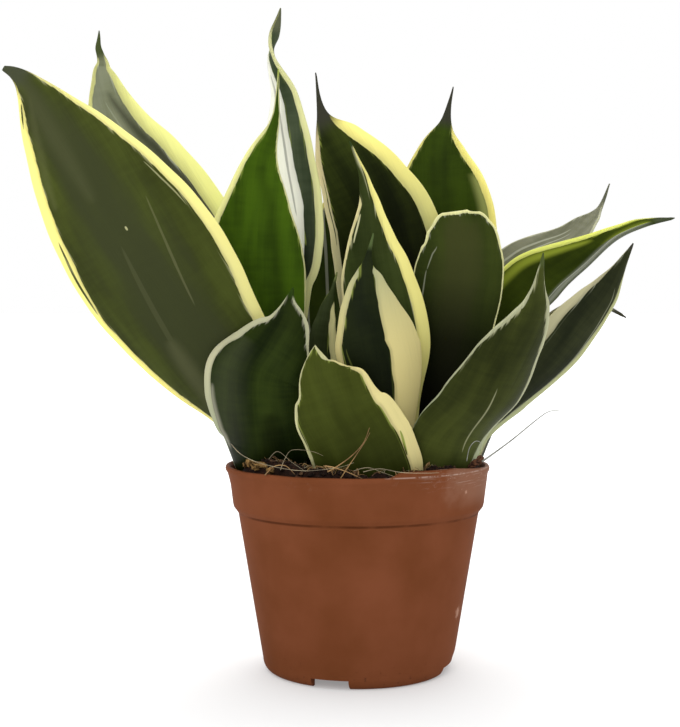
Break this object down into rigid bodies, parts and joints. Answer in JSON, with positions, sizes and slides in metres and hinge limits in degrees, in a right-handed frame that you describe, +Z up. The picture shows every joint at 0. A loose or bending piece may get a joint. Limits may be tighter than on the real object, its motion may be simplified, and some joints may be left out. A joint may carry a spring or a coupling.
{
  "type": "potted snake plant",
  "caption": "Potted dwarf birds nest snake plant: short broad variegated leaves in rosettes, rising from dark potting mix in a round tapered nursery pot.",
  "frame": {"origin": "middle of the pot's foot, on the surface that it stands on, below the middle of the plant's bounding box", "axes": "+Z up, +X towards the plant's right side as seen from the front, -Y towards the viewer"},
  "size_m": [0.3055, 0.1491, 0.3032],
  "materials": {
    "terracotta_plastic": "satin",
    "potting_mix": "matte",
    "rhizome": "matte",
    "leaf": "satin"
  },
  "bodies": {
    "root": {"pot": "terracotta_plastic", "potting_mix": "potting_mix", "rhizome": "rhizome", "leaf_left_large": "leaf", "leaf_front_left_cupped": "leaf", "leaf_front_torn": "leaf", "leaf_front_cream": "leaf", "leaf_centre_yellow_edge": "leaf", "leaf_tall_centre": "leaf", "leaf_back_right": "leaf", "leaf_round_topped": "leaf", "leaf_front_right": "leaf", "leaf_right_low": "leaf", "leaf_far_right_channelled": "leaf", "leaf_right_back": "leaf", "leaf_right_small_arching": "leaf", "leaf_back_left": "leaf", "leaf_left_centre_bright": "leaf", "leaf_tall_twisted": "leaf", "leaf_centre_small": "leaf", "leaf_behind_left": "leaf", "leaf_behind_centre": "leaf", "leaf_behind_right": "leaf", "leaf_behind_far_left": "leaf", "leaf_behind_far_right": "leaf"}
  },
  "joints": []
}
